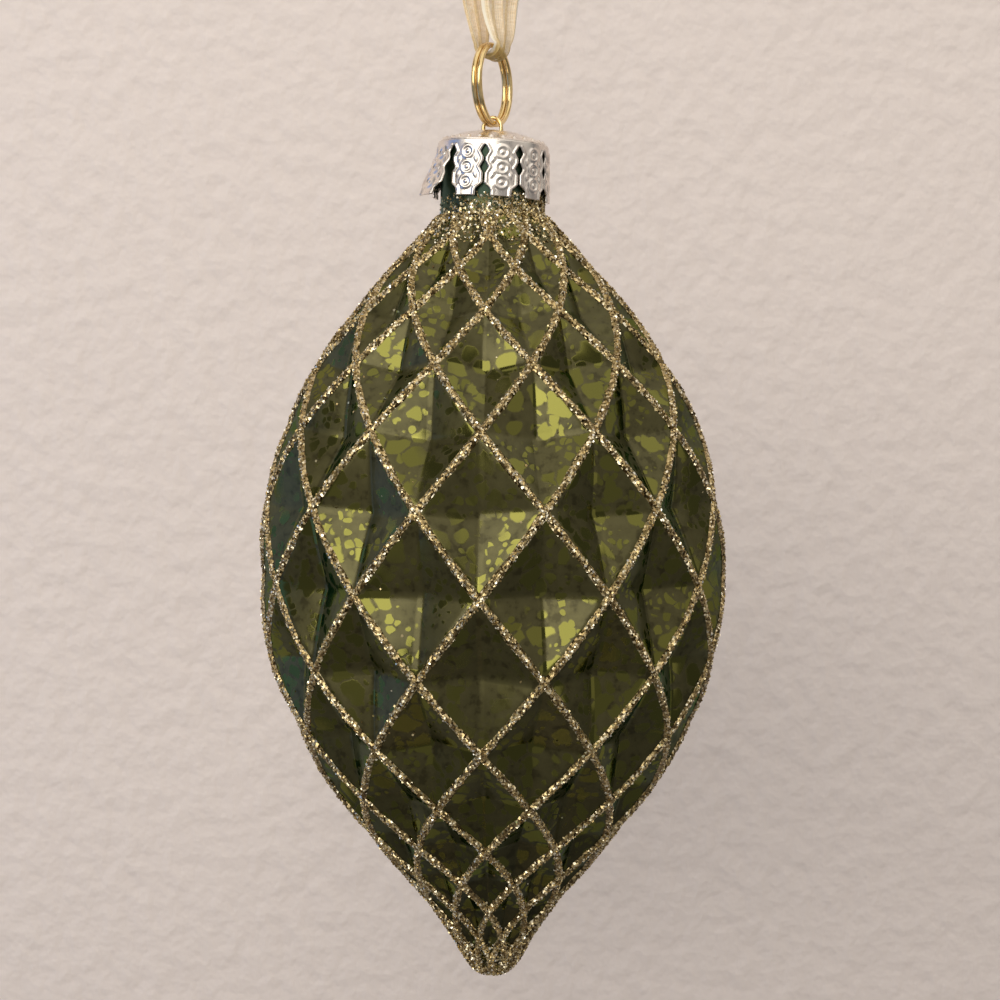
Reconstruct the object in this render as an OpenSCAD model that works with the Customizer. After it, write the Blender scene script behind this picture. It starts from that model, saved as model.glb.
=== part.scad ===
// Hanging spindle ornament: mould-blown glass with a dented diamond lattice, glitter lines along the
// ridges, a stamped crown cap, a spring-wire clip, a split ring and a gathered ribbon loop.
// Millimetres, +Z up. The origin is where a hook or branch carries the ribbon loop.

/* [Glass] */
// Radius over the ridges at the widest row
body_r = 35; // [31:0.5:39]
// Height from the widest row up to the root of the neck
upper_h = 54; // [50:0.5:60]
// Height from the widest row down to the tip
lower_h = 62.3; // [58:0.1:68]
// Outer radius of the neck
neck_r = 7.8; // [7:0.1:8.6]
// Length of the neck above its root
neck_h = 10.2; // [9:0.1:12]
// Thickness of the glass
wall = 1; // [0.8:0.05:1.3]
// Straight run of the side above the widest row
waist_up = 27; // [22:0.5:32]
// Straight run of the side below the widest row
waist_down = 28; // [22:0.5:32]
// Straight run of the shoulder below the neck
shoulder_run = 14; // [10:0.5:18]
// Radius gained for each millimetre down the shoulder
shoulder_slope = 0.9; // [0.7:0.05:1.1]
// Radius where the rounded tip begins
tip_r = 5.9; // [5:0.1:7]
// Height of the rounded tip
tip_h = 5.9; // [5:0.1:7]
// Straight run of the side above the tip
tip_run = 14.5; // [11:0.5:18]
// Radius gained for each millimetre above the tip
tip_slope = 0.6; // [0.5:0.05:0.7]
// Straight run of the side below the tip's start
tip_side = 2.4; // [1.5:0.1:3]
// Flat run at the very bottom of the tip
tip_round = 3.6; // [3:0.1:4.2]

/* [Lattice] */
// Ridge lines winding each way
line_count = 12; // [10:2:14]
// Climb of the ridges for each unit of radius
lattice_climb = 0.81; // [0.7:0.01:0.95]
// Radius added to the glass's own before the climb is taken
lattice_base = 20.6; // [16:0.2:25]
// Turn of the lattice about the axis, in degrees
lattice_turn = 20.3; // [0:0.1:30]
// Depth of the four-sided dent in the widest diamonds
dent_depth = 3.6; // [2.4:0.1:4]

/* [Glitter] */
// Width of a glitter line
glitter_w = 1.5; // [1:0.1:2]
// Height of a glitter line over its ridge
glitter_h = 0.5; // [0.3:0.05:0.7]
// Height of a glitter line at its edges
glitter_edge_h = 0.25; // [0.15:0.05:0.3]
// Glue line between the glass and the glitter
glue_gap = 0.05; // [0.03:0.01:0.1]

/* [Crown cap] */
// Thickness of the stamped sheet
sheet_t = 0.3; // [0.2:0.05:0.4]
// Gap between the neck and the top of the skirt
skirt_gap = 0.2; // [0.15:0.05:0.4]
// Height of the skirt
skirt_h = 8.3; // [7:0.1:9]
// Radius gained by the skirt from top to bottom
skirt_flare = 0.4; // [0.2:0.05:0.6]
// Rise of the domed top over its rim
dome_rise = 2.2; // [1.6:0.1:2.6]
// Gap between the glass rim and the cap
rim_gap = 0.05; // [0.03:0.01:0.1]
// Number of tabs round the skirt
tab_count = 10; // [8:1:12]
// Turn of the tabs about the axis, in degrees
tab_turn = 15; // [0:1:36]
// Plain band between the rim and the tabs
band_h = 0.8; // [0.6:0.1:1.2]
// Width of the slit between two tabs
slit_w = 0.2; // [0.15:0.05:0.3]
// Width of the diamond gaps between two tabs
gap_w = 1.2; // [0.8:0.1:1.6]
// Height of each diamond gap
gap_h = 2.1; // [1.6:0.1:2.4]
// Diamond gaps above each other
gap_count = 2; // [1:1:2]
// Width of the notch at the foot of two tabs
notch_w = 2.2; // [1.6:0.1:2.8]
// Height of that notch
notch_h = 1.9; // [1.4:0.1:2.4]
// The tab that has sprung outward, counted from the turn
sprung_tab = 3; // [0:1:7]
// Angle of the sprung tab, in degrees
sprung_angle = 20; // [8:1:24]

/* [Wire clip] */
// Radius of the clip's wire
clip_wire_r = 0.4; // [0.3:0.05:0.5]
// Inner radius of the eye that hangs in the ring
eye_r = 1.35; // [1.25:0.05:1.6]
// Distance of the eye's middle below the ring's lowest wire
eye_drop = 0.5; // [0:0.05:0.55]
// Gap round the wire in the cap's two holes
clip_hole_gap = 0.15; // [0.1:0.05:0.3]
// Straight length of the legs below the dome
leg_straight = 1.4; // [1:0.1:2]
// Height over which the legs spread
leg_spread_h = 9; // [7:0.5:12]
// Gap between the spread legs and the neck's bore
leg_gap = 0.15; // [0.1:0.05:0.3]
// Length of the turned-in feet
foot_l = 3; // [2:0.1:4]
// Angle of the feet from upright, in degrees
foot_angle = 32; // [20:1:40]

/* [Split ring] */
// Radius of the ring at the middle of its wire
ring_r = 5.86; // [5.4:0.02:6.6]
// Radius of the ring's wire
ring_wire_r = 0.42; // [0.36:0.01:0.46]
// Gap between the two turns
ring_gap = 0.42; // [0.41:0.01:0.5]
// Angle over which the wire crosses from one turn to the other
ring_cross = 50; // [40:1:70]
// Where that crossing lies round the ring: 90 is at the top, in the ribbon
ring_turn = 90; // [60:1:120]
// Gap from the lowest wire of the ring to the top of the cap
ring_drop = 0.5; // [0.45:0.05:1]

/* [Ribbon] */
// Height of the loop from the ring's wire to the hook
loop_h = 46; // [40:1:60]
// Half the width of the open loop
loop_half = 4.5; // [4:0.1:6]
// Radius of the bight under the ring's wire
bight_r = 2; // [1.9:0.05:2.4]
// Width where the ribbon is gathered in the ring
gather_w = 5.2; // [4.4:0.1:6]
// Width of the opened ribbon
open_w = 9; // [8:0.1:10]
// Thickness of the ribbon
ribbon_t = 0.3; // [0.2:0.05:0.35]
// Depth of the ribbon's folds
fold_depth = 0.25; // [0.15:0.05:0.3]
// Folds across the ribbon
fold_count = 2; // [1:1:3]
// Width of the knot over the hook
knot_w = 7; // [6.4:0.1:8]
// Height of the knot
knot_h = 4; // [3:0.1:5]
// Depth of the groove round the knot
knot_groove = 0.35; // [0.2:0.05:0.4]
// Width of each strand where it passes through the knot
knot_gather_w = 3.4; // [3:0.1:3.8]
// Distance of each strand from the middle of the knot
knot_strand_y = 0.7; // [0.6:0.05:0.9]
// Gap between the knot and the strands in it
knot_gap = 0.15; // [0.1:0.05:0.3]
// Length of the two ribbon ends above the knot
tail_l = 12; // [9:0.5:16]
// Lean of the ribbon ends, in degrees
tail_lean = 24; // [18:1:32]

/* [Hidden] */
round_fn = 64;
curve_steps = 60;
// Part of a row kept free of crossings at the tip and at the neck
tip_margin = 0.4;
neck_margin = 0.3;
// Largest share of a dent that a glitter line may cover
cover_most = 0.8;
// How far up the loop its widest place lies: 1 is halfway, more is higher
loop_lift = 1.5;

// Heights from the hook downward
ring_top_z = -loop_h;
ring_z = ring_top_z - ring_r;
ring_bottom_z = ring_z - ring_r;
cap_top_z = ring_bottom_z - ring_wire_r - ring_drop;
rim_z = cap_top_z - dome_rise;
neck_top_z = rim_z - sheet_t - rim_gap;
waist_z = neck_top_z - neck_h - upper_h;
neck_root_z = waist_z + upper_h;
tip_z = tip_h - lower_h;

// The glass's side, from the tip to the neck, as three smooth curves of [radius, height over the widest row]
tip_curve = [
    [0, -lower_h], [tip_round, -lower_h], [tip_r - tip_slope * tip_side, tip_z - tip_side], [tip_r, tip_z]
];
lower_curve = [
    [tip_r, tip_z], [tip_r + tip_slope * tip_run, tip_z + tip_run], [body_r, -waist_down], [body_r, 0]
];
upper_curve = [
    [body_r, 0], [body_r, waist_up],
    [neck_r + shoulder_slope * shoulder_run, upper_h - shoulder_run], [neck_r, upper_h]
];
function bezier(p, u) =
    pow(1 - u, 3) * p[0] + 3 * u * pow(1 - u, 2) * p[1] + 3 * u * u * (1 - u) * p[2] + pow(u, 3) * p[3];
function curve(p) = [for (i = [1:curve_steps]) bezier(p, i / curve_steps)];
side = concat([tip_curve[0]], curve(tip_curve), curve(lower_curve), curve(upper_curve));
side_last = len(side) - 1;
waist_index = 2 * curve_steps;

// Rows of ridge crossings, counted from the widest row: the climb follows the radius
half_pitch = 180 / line_count;
function row_step(i) =
    norm(side[i + 1] - side[i])
    / (lattice_climb * ((side[i][0] + side[i + 1][0]) / 2 + lattice_base) * half_pitch * PI / 180);
counted = [for (i = 0, sum = 0; i <= side_last; sum = sum + (i < side_last ? row_step(i) : 0), i = i + 1) sum];
row_of = [for (c = counted) c - counted[waist_index]];
radius_table = [for (i = [0:side_last]) [row_of[i], side[i][0]]];
height_table = [for (i = [0:side_last]) [row_of[i], side[i][1]]];
first_row = ceil(row_of[0] + tip_margin);
last_row = floor(row_of[side_last] - neck_margin);
row_total = last_row - first_row + 1;
around = 2 * line_count;
end_row = (last_row + row_of[side_last]) / 2;

// A point of the side at a row, with its outward direction in the plane of the axis
function side_at(row) = [lookup(row, radius_table), lookup(row, height_table)];
function side_out(row) =
    let (d = side_at(row + 0.05) - side_at(row - 0.05))
    [d[1], -d[0]] / norm(d);
// A point of the glass that lies inset below the side
function at(row, step, inset) =
    let (p = side_at(row) - inset * side_out(row), a = lattice_turn + step * half_pitch)
    [p[0] * cos(a), p[0] * sin(a), waist_z + p[1]];
function is_ridge(row, step) = abs((row + step) % 2) == 0;
function dent_at(row) = dent_depth * lookup(row, radius_table) / body_r;
// A corner of the lattice: a ridge crossing, or the middle of a dent
function corner(row, step, inset) = at(row, step, inset + (is_ridge(row, step) ? 0 : dent_at(row)));
function corners(inset) = [for (r = [first_row:last_row]) for (s = [0:around - 1]) corner(r, s, inset)];

// Faces between two rows of corners, split along the ridges; base is the first point's number
function spot(base, i, s) = base + i * around + (s + around) % around;
function wall_faces(base, out) = [
    for (i = [0:row_total - 2]) for (s = [0:around - 1])
        let (
            a = spot(base, i, s), b = spot(base, i, s + 1), c = spot(base, i + 1, s + 1), d = spot(base, i + 1, s),
            pair = is_ridge(first_row + i, s) ? [[a, c, b], [a, d, c]] : [[a, d, b], [b, d, c]]
        )
        for (f = pair) out ? f : [f[0], f[2], f[1]]
];
// Faces of a strip between two closed rings of points
function ring_faces(low, high, out) = [
    for (s = [0:around - 1])
        let (n = (s + 1) % around, pair = [[low + s, high + s, low + n], [low + n, high + s, high + n]])
        for (f = pair) out ? f : [f[0], f[2], f[1]]
];
function fan_faces(ring, hub, out) = [
    for (s = [0:around - 1])
        let (n = (s + 1) % around)
        out ? [hub, ring + s, ring + n] : [hub, ring + n, ring + s]
];

// Blown body: an outer and an inner dented wall, joined round the root of the neck
module blown_shell() {
    bore_r = neck_r - wall;
    function root_ring(r) = [
        for (s = [0:around - 1])
            let (a = lattice_turn + s * half_pitch, k = 1 / cos(half_pitch / 2))
            [r * k * cos(a), r * k * sin(a), neck_root_z]
    ];
    outer = concat(corners(0), root_ring(neck_r), [[0, 0, waist_z - lower_h]]);
    inner = concat(corners(wall), root_ring(bore_r), [[0, 0, waist_z - lower_h + wall]]);
    ring = row_total * around;
    base = len(outer);
    polyhedron(concat(outer, inner), concat(
        wall_faces(0, true), ring_faces(ring - around, ring, true), fan_faces(0, ring + around, true),
        wall_faces(base, false), ring_faces(base + ring - around, base + ring, false),
        fan_faces(base, base + ring + around, false), ring_faces(ring, base + ring, true)
    ));
}

module neck() {
    lip = wall / 2;
    translate([0, 0, neck_root_z]) rotate_extrude($fn = round_fn) {
        translate([neck_r - wall, 0]) square([wall, neck_h - lip]);
        translate([neck_r - lip, neck_h - lip]) circle(lip, $fn = round_fn);
    }
}

module glass_body() {
    color([0.30, 0.34, 0.10]) union() {
        blown_shell();
        neck();
    }
}

// Glitter lines: a net over the ridges with an open diamond over each dent, closed at the tip
module glitter_lattice() {
    low = -glue_gap;
    ridge_top = -glue_gap - glitter_h;
    edge_top = -glue_gap - glitter_edge_h;
    // share of the way from a ridge to the middle of its dent that a line covers
    function cover(row, step) =
        let (
            m = corner(row, step, 0), p = corner(row, step - 1, 0), q = corner(row + 1, step, 0),
            reach = norm(cross(p - m, q - m)) / norm(q - p)
        )
        min(cover_most, glitter_w / 2 / reach);
    dents = [
        for (r = [first_row + 1:last_row - 1]) for (s = [0:around - 1]) if (!is_ridge(r, s)) [r, s]
    ];
    sides = [[0, -1], [-1, 0], [0, 1], [1, 0]];
    function rim_of(d, inset, share) = [
        for (k = sides)
            let (c = corner(d[0] + k[0], d[1] + k[1], inset), m = corner(d[0], d[1], inset))
            c + share * (m - c)
    ];
    end_ring_low = [for (s = [0:around - 1]) at(end_row, s, low)];
    end_ring_top = [for (s = [0:around - 1]) at(end_row, s, edge_top)];
    net = row_total * around;
    low_base = net + around + 1;
    rim_base = 2 * low_base;
    points = concat(
        corners(ridge_top), end_ring_top, [[0, 0, waist_z - lower_h - glue_gap - glitter_h]],
        corners(low), end_ring_low, [[0, 0, waist_z - lower_h - glue_gap]],
        [for (d = dents) for (p = rim_of(d, edge_top, cover(d[0], d[1]))) p],
        [for (d = dents) for (p = rim_of(d, low, cover(d[0], d[1]))) p]
    );
    rim_low = rim_base + 4 * len(dents);
    function turned(f, out) = out ? f : [f[0], f[2], f[1]];
    // strips between the ridges and the open diamonds
    function strips(base, rims, out) = [
        for (n = [0:len(dents) - 1]) for (k = [0:3])
            let (
                d = dents[n], e = (k + 1) % 4,
                a = spot(base, d[0] + sides[k][0] - first_row, d[1] + sides[k][1]),
                b = spot(base, d[0] + sides[e][0] - first_row, d[1] + sides[e][1]),
                u = rims + 4 * n + k, v = rims + 4 * n + e
            )
            for (f = [[a, v, b], [a, u, v]]) turned(f, out)
    ];
    walls = [
        for (n = [0:len(dents) - 1]) for (k = [0:3])
            let (e = (k + 1) % 4, u = 4 * n + k, v = 4 * n + e)
            for (f = [[rim_base + u, rim_low + v, rim_base + v], [rim_base + u, rim_low + u, rim_low + v]]) f
    ];
    // the half dents at both ends are covered
    function end_faces(base, out) = [
        for (i = [0, row_total - 1]) for (s = [0:around - 1]) if (!is_ridge(first_row + i, s))
            let (
                m = spot(base, i, s), p = spot(base, i, s - 1), q = spot(base, i, s + 1),
                t = spot(base, i == 0 ? 1 : i - 1, s)
            )
            for (f = i == 0 ? [[m, p, t], [m, t, q]] : [[m, t, p], [m, q, t]]) turned(f, out)
    ];
    color([0.62, 0.53, 0.30]) polyhedron(points, concat(
        strips(0, rim_base, true), strips(low_base, rim_low, false), walls,
        end_faces(0, true), end_faces(low_base, false),
        ring_faces(net - around, net, true), ring_faces(low_base + net - around, low_base + net, false),
        ring_faces(net, low_base + net, true),
        fan_faces(0, net + around, true), fan_faces(low_base, low_base + net + around, false)
    ));
}

// Crown cap: one stamped sheet, domed on top, with a skirt slit into tabs with scalloped sides
skirt_r = neck_r + skirt_gap + sheet_t;
dome_r = (skirt_r * skirt_r + dome_rise * dome_rise) / (2 * dome_rise);
tab_angle = 360 / tab_count;
// Height of the inner dome's edge, where the inside of the skirt begins
inner_rim_z = cap_top_z - dome_r + sqrt(pow(dome_r - sheet_t, 2) - pow(skirt_r - sheet_t, 2));
skirt_foot_z = rim_z - skirt_h;
function skirt_out(z) = skirt_r + skirt_flare * (rim_z - z) / skirt_h;
function skirt_in(z) = skirt_r - sheet_t + skirt_flare * (inner_rim_z - z) / (inner_rim_z - skirt_foot_z);
module cap_section() {
    steps = 12;
    function dome(r, edge) = [
        for (i = [0:steps])
            let (a = asin(edge / r) * i / steps)
            [r * sin(a), cap_top_z - dome_r + r * cos(a)]
    ];
    outer = dome(dome_r, skirt_r);
    inner = dome(dome_r - sheet_t, skirt_r - sheet_t);
    polygon(concat(
        outer,
        [[skirt_out(skirt_foot_z), skirt_foot_z], [skirt_in(skirt_foot_z), skirt_foot_z]],
        [for (i = [steps:-1:0]) inner[i]]
    ));
}
// The gaps between two tabs, cut outward along +X
module tab_gaps() {
    deep = 2 * skirt_r;
    top = rim_z - band_h;
    slit_top = top - gap_h / 2;
    translate([0, -slit_w / 2, skirt_foot_z - 1]) cube([deep, slit_w, slit_top - skirt_foot_z + 1]);
    for (i = [0:gap_count - 1])
        translate([0, 0, top - (i + 0.5) * gap_h - i * slit_w]) rotate([90, 0, 90])
            linear_extrude(deep)
                polygon([[-gap_w / 2, 0], [0, -gap_h / 2], [gap_w / 2, 0], [0, gap_h / 2]]);
    translate([0, 0, skirt_foot_z]) rotate([90, 0, 90]) linear_extrude(deep)
        polygon([
            [-notch_w / 2, -1], [notch_w / 2, -1], [notch_w / 2, notch_h / 2],
            [0, notch_h], [-notch_w / 2, notch_h / 2]
        ]);
}
// Section of the sprung tab: it bends between the upper diamond gaps and leans outward below them
bend_share = 0.35;
bend_z = rim_z - band_h - bend_share * gap_h;
module sprung_section() {
    lean = (bend_z - skirt_foot_z) * tan(sprung_angle);
    // the bent tab is a little thinner, and its root lies inside the sheet
    thinned = sheet_t / 10;
    root_z = bend_z + sheet_t;
    function face_in(z) = skirt_in(z) + thinned;
    function face_out(z) = skirt_out(z) - thinned;
    polygon([
        [face_in(root_z), root_z], [face_out(root_z), root_z], [face_out(bend_z), bend_z],
        [face_out(bend_z) + lean, skirt_foot_z], [face_in(bend_z) + lean, skirt_foot_z], [face_in(bend_z), bend_z]
    ]);
}
module crown_cap() {
    sprung_turn = tab_turn + sprung_tab * tab_angle;
    color([0.78, 0.76, 0.73]) difference() {
        union() {
            difference() {
                rotate_extrude($fn = round_fn) cap_section();
                rotate(sprung_turn) rotate_extrude(angle = tab_angle, $fn = round_fn)
                    translate([skirt_r - 2 * sheet_t, skirt_foot_z - 1])
                        square([skirt_r, bend_z - skirt_foot_z + 1]);
            }
            rotate(sprung_turn) rotate_extrude(angle = tab_angle, $fn = round_fn) sprung_section();
        }
        for (i = [0:tab_count - 1]) rotate(tab_turn + i * tab_angle) tab_gaps();
        for (s = [-1, 1]) translate([0, s * (eye_r + clip_wire_r), rim_z])
            cylinder(r = clip_wire_r + clip_hole_gap, h = 2 * dome_rise, $fn = round_fn);
    }
}

// Tube along a path of points that lie in one upright plane, each with the path's sideways direction there
tube_sides = 10;
function path_side(path, i) =
    let (
        a = path[max(i - 1, 0)], b = path[min(i + 1, len(path) - 1)],
        d = [b[0] - a[0], b[1] - a[1]]
    )
    [-d[1], d[0]] / norm(d);
// Closed tube faces over rows of equally many points
function tube_faces(rows, sides) = concat(
    [for (i = [0:rows - 2]) for (k = [0:sides - 1])
        let (n = (k + 1) % sides, a = i * sides)
        for (f = [[a + k, a + n, a + sides + k], [a + n, a + sides + n, a + sides + k]]) f],
    [for (k = [1:sides - 2]) [0, k + 1, k]],
    [for (k = [1:sides - 2]) let (a = (rows - 1) * sides) [a, a + k, a + k + 1]]
);

// Wire clip: a hairpin of spring wire whose eye hangs in the ring and whose legs press on the neck's bore
eye_mid_r = eye_r + clip_wire_r;
clip_spread = neck_r - wall - leg_gap - clip_wire_r;
knee_z = cap_top_z - sheet_t - leg_straight;
heel_z = knee_z - leg_spread_h;
eye_steps = 14;
// One leg from its foot up to the eye, as [y, z] on the side s
function clip_leg(s) = [
    [s * (clip_spread - foot_l * sin(foot_angle)), heel_z - foot_l * cos(foot_angle)],
    [s * (clip_spread - clip_wire_r * sin(foot_angle)), heel_z - clip_wire_r * cos(foot_angle)],
    [s * clip_spread, heel_z + clip_wire_r],
    [s * (eye_mid_r + clip_wire_r), knee_z - clip_wire_r],
    [s * eye_mid_r, knee_z + clip_wire_r],
    [s * eye_mid_r, cap_top_z]
];
function reversed(list) = [for (i = [len(list) - 1:-1:0]) list[i]];
clip_path = concat(
    clip_leg(1),
    [for (i = [0:eye_steps]) let (a = 180 * i / eye_steps)
        [eye_mid_r * cos(a), ring_bottom_z - eye_drop + eye_mid_r * sin(a)]],
    reversed(clip_leg(-1))
);
module wire_clip() {
    color([0.66, 0.50, 0.22]) polyhedron(
        [for (i = [0:len(clip_path) - 1]) for (k = [0:tube_sides - 1])
            let (p = clip_path[i], n = path_side(clip_path, i), a = 360 * k / tube_sides,
                across_x = clip_wire_r * cos(a), out = clip_wire_r * sin(a))
            [across_x, p[0] + out * n[0], p[1] + out * n[1]]],
        tube_faces(len(clip_path), tube_sides)
    );
}

// Split ring: one wire of two flat turns, crossing from one turn to the other inside the ribbon
ring_sides = 8;
ring_rings = 30;
ring_half = ring_wire_r + ring_gap / 2;
ring_span = 720 - ring_cross;
function smooth(u) = u * u * (3 - 2 * u);
function ring_shift(a) =
    a < 360 - ring_cross ? -ring_half
    : a > 360 ? ring_half
    : ring_half * (2 * smooth((a - 360 + ring_cross) / ring_cross) - 1);
ring_count = ceil(ring_span * ring_rings / 360);
ring_path = [
    for (i = [0:ring_count])
        let (a = ring_span * i / ring_count, turn = a + ring_cross / 2 + ring_turn)
        [turn, ring_shift(a)]
];
function ring_point(p, out, along) =
    [(ring_r + out) * cos(p[0]), p[1] + along, ring_z + (ring_r + out) * sin(p[0])];
ring_self_gap = min([
    for (i = [0:ring_count]) for (j = [0:ring_count]) if (ring_path[j][0] - ring_path[i][0] > 90)
        norm(ring_point(ring_path[j], 0, 0) - ring_point(ring_path[i], 0, 0)) - 2 * ring_wire_r
]);
echo(ring_self_gap = ring_self_gap);
module split_ring() {
    color([0.70, 0.53, 0.24]) polyhedron(
        [for (p = ring_path) for (k = [0:ring_sides - 1])
            let (a = 360 * k / ring_sides)
            ring_point(p, ring_wire_r * cos(a), ring_wire_r * sin(a))],
        tube_faces(len(ring_path), ring_sides)
    );
}

// Ribbon: one strip, from one cut end down through the knot, round the ring's wire and back up to the other end
strand_steps = 14;
bight_steps = 8;
tail_steps = 4;
across = 8;
function strand_y(u) =
    bight_r * (1 - u) + knot_strand_y * u + loop_half * sin(180 * pow(u, loop_lift));
// Half width of the ribbon: gathered in the ring and in the knot, open between them and at the cut ends
function half_width(u) =
    let (low = u < 0.5 ? gather_w : knot_gather_w)
    u <= 1 ? (low + (open_w - low) * sin(180 * u)) / 2
    : (knot_gather_w + (open_w - knot_gather_w) * max(0, u - 1)) / 2;
// The strand on side s from the ring's wire to the cut end: [y, z, share of the way; the tail is past 1]
function strand(s) = concat(
    [for (i = [1:strand_steps]) let (u = i / strand_steps) [s * strand_y(u), ring_top_z + u * loop_h, u]],
    [[s * knot_strand_y, knot_h, 1]],
    [for (i = [1:tail_steps]) let (u = i / tail_steps, l = tail_l * u, a = tail_lean * (1 + u) / 2)
        [s * (knot_strand_y + l * sin(a)), knot_h + l * cos(a), 1 + u]]
);
ribbon_path = concat(
    reversed(strand(1)),
    [for (i = [0:bight_steps]) let (a = -180 * i / bight_steps)
        [bight_r * cos(a), ring_top_z + bight_r * sin(a), 0]],
    strand(-1)
);
// Points round the ribbon's section at one place of its path
function ribbon_rung(p, out) =
    let (half = half_width(p[2]))
    [for (face = [1, -1]) for (m = [0:across])
        let (
            w = face * (2 * m / across - 1),
            f = fold_depth * cos(180 * fold_count * w) + face * ribbon_t / 2
        )
        [half * w, p[0] + f * out[0], p[1] + f * out[1]]];
module hanging_ribbon() {
    color([0.85, 0.75, 0.52]) polyhedron(
        [for (i = [0:len(ribbon_path) - 1]) for (q = ribbon_rung(ribbon_path[i], path_side(ribbon_path, i))) q],
        tube_faces(len(ribbon_path), 2 * across + 2)
    );
}

// Knot: the turn of ribbon drawn round both strands over the hook
module ribbon_knot() {
    inner_r = norm([knot_gather_w / 2, knot_strand_y + fold_depth + ribbon_t / 2]) + knot_gap;
    color([0.85, 0.75, 0.52]) rotate_extrude($fn = round_fn) difference() {
        translate([0, knot_h / 2]) intersection() {
            circle(knot_w / 2, $fn = round_fn);
            translate([inner_r, -knot_h / 2]) square([knot_w, knot_h]);
        }
        translate([knot_w / 2 + knot_groove, knot_h / 2]) circle(2 * knot_groove, $fn = round_fn);
    }
}

glass_body();
glitter_lattice();
crown_cap();
wire_clip();
split_ring();
hanging_ribbon();
ribbon_knot();
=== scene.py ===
"""Looks of a hanging spindle ornament: antiqued silvered glass with a dented diamond lattice, glitter
lines, a stamped crown cap, a wire clip, a split ring and a sheer ribbon loop.

Sizes are in millimetres, as in the solids, and become metres where a mesh is made.
"""
import math

import bpy
import numpy as np
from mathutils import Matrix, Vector


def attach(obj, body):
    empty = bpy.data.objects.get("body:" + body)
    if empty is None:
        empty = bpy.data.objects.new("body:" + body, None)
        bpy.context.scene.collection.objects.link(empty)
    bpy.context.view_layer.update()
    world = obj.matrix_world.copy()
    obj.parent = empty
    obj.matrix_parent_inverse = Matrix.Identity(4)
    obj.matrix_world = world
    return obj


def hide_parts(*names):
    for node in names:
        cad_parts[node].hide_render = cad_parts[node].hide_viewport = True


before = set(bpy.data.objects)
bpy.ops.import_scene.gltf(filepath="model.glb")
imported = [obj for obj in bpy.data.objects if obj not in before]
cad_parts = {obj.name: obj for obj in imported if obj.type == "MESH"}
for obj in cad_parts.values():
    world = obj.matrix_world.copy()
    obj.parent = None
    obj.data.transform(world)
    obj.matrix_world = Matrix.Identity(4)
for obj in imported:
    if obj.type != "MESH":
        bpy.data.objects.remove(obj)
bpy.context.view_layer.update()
MM = 0.001
rng = np.random.default_rng(12)

# Heights in the shared frame, from the hook downward
LOOP_H = 46.0
RING_R = 5.86
RING_WIRE_R = 0.42
RING_DROP = 0.5
DOME_RISE = 2.2
SHEET_T = 0.3
RIM_GAP = 0.05
NECK_R = 7.8
NECK_H = 10.2
UPPER_H = 54.0
LOWER_H = 62.3
RING_TOP_Z = -LOOP_H
RING_Z = RING_TOP_Z - RING_R
RING_BOTTOM_Z = RING_Z - RING_R
CAP_TOP_Z = RING_BOTTOM_Z - RING_WIRE_R - RING_DROP
RIM_Z = CAP_TOP_Z - DOME_RISE
NECK_TOP_Z = RIM_Z - SHEET_T - RIM_GAP
WAIST_Z = NECK_TOP_Z - NECK_H - UPPER_H
NECK_ROOT_Z = WAIST_Z + UPPER_H
WALL = 1.0
CAMERA_AZIMUTH = math.radians(-67)


# Mesh helpers

def new_piece(name, verts, faces, material, body, smooth=True):
    """A mesh object from points in millimetres that rides on a body."""
    mesh = bpy.data.meshes.new(name)
    mesh.from_pydata((np.asarray(verts, dtype=float) * MM).tolist(), [], faces)
    mesh.validate()
    if smooth:
        mesh.shade_smooth()
    else:
        mesh.shade_flat()
    mesh.materials.append(material)
    piece = bpy.data.objects.new(name, mesh)
    bpy.context.scene.collection.objects.link(piece)
    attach(piece, body)
    return piece


def grid_faces(rows, cols, wrap=False):
    """Quads over rows of points; wrap joins the last column to the first."""
    last = cols if wrap else cols - 1
    return [
        (i * cols + j, i * cols + (j + 1) % cols, (i + 1) * cols + (j + 1) % cols, (i + 1) * cols + j)
        for i in range(rows - 1)
        for j in range(last)
    ]


def unit(v):
    return v / np.maximum(np.linalg.norm(v, axis=-1, keepdims=True), 1e-9)


def tube(path, radius, across, sides=14):
    """Round wire along a path; across is a direction that the path never runs along."""
    path = np.asarray(path, dtype=float)
    along = unit(np.gradient(path, axis=0))
    first = unit(np.cross(along, across))
    second = np.cross(along, first)
    turn = np.linspace(0, 2 * math.pi, sides, endpoint=False)
    rings = (
        path[:, None]
        + radius * np.cos(turn)[None, :, None] * first[:, None]
        + radius * np.sin(turn)[None, :, None] * second[:, None]
    )
    faces = grid_faces(len(path), sides, wrap=True)
    faces.append(tuple(range(sides - 1, -1, -1)))
    faces.append(tuple(range((len(path) - 1) * sides, len(path) * sides)))
    return rings.reshape(-1, 3), faces


def rounded(path, times=3):
    """Corner cutting, which keeps both ends."""
    path = np.asarray(path, dtype=float)
    for _ in range(times):
        cut = np.empty((2 * len(path) - 2, path.shape[1]))
        cut[0::2] = 0.75 * path[:-1] + 0.25 * path[1:]
        cut[1::2] = 0.25 * path[:-1] + 0.75 * path[1:]
        path = np.vstack([path[:1], cut, path[-1:]])
    return path


# Materials

def new_material(name):
    material = bpy.data.materials.new(name)
    material.use_nodes = True
    nodes = material.node_tree.nodes
    return material, nodes, material.node_tree.links, nodes["Principled BSDF"]


def add(nodes, kind, **values):
    """A shader node with its properties, and its sockets where the name is a socket's."""
    node = nodes.new(kind)
    for key, value in values.items():
        if key in node.bl_rna.properties:
            setattr(node, key, value)
        else:
            node.inputs[key.replace("_", " ")].default_value = value
    return node


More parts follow.
